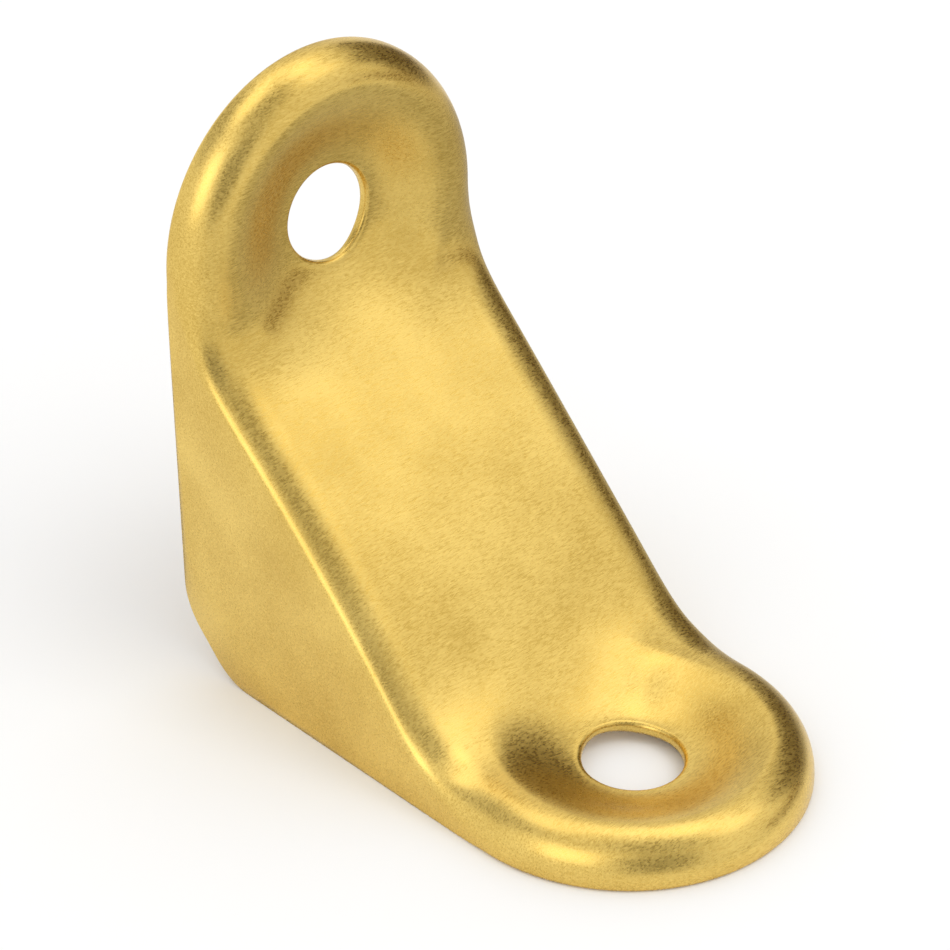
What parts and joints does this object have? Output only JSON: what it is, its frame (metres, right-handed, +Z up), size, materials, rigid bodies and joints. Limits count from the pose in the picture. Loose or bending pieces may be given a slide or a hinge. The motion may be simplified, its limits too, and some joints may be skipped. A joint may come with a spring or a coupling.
{
  "type": "angle bracket",
  "caption": "Pressed sheet angle bracket with round-ended dished legs, raised rims and a sloping web with ridged sides, screwed into an inside corner.",
  "frame": {"origin": "the inside corner that the bracket is screwed into, midway across its width, where the two mounting planes meet", "axes": "+Z up along the wall leg, +Y out along the floor leg, X across the width; the floor leg lies on z = 0 and the wall leg on y = 0"},
  "size_m": [0.015, 0.025, 0.025],
  "materials": {
    "brass_sheet": "satin, lightly tumbled, with fine hair scratches"
  },
  "bodies": {
    "root": {"bracket": "brass_sheet"}
  },
  "joints": []
}
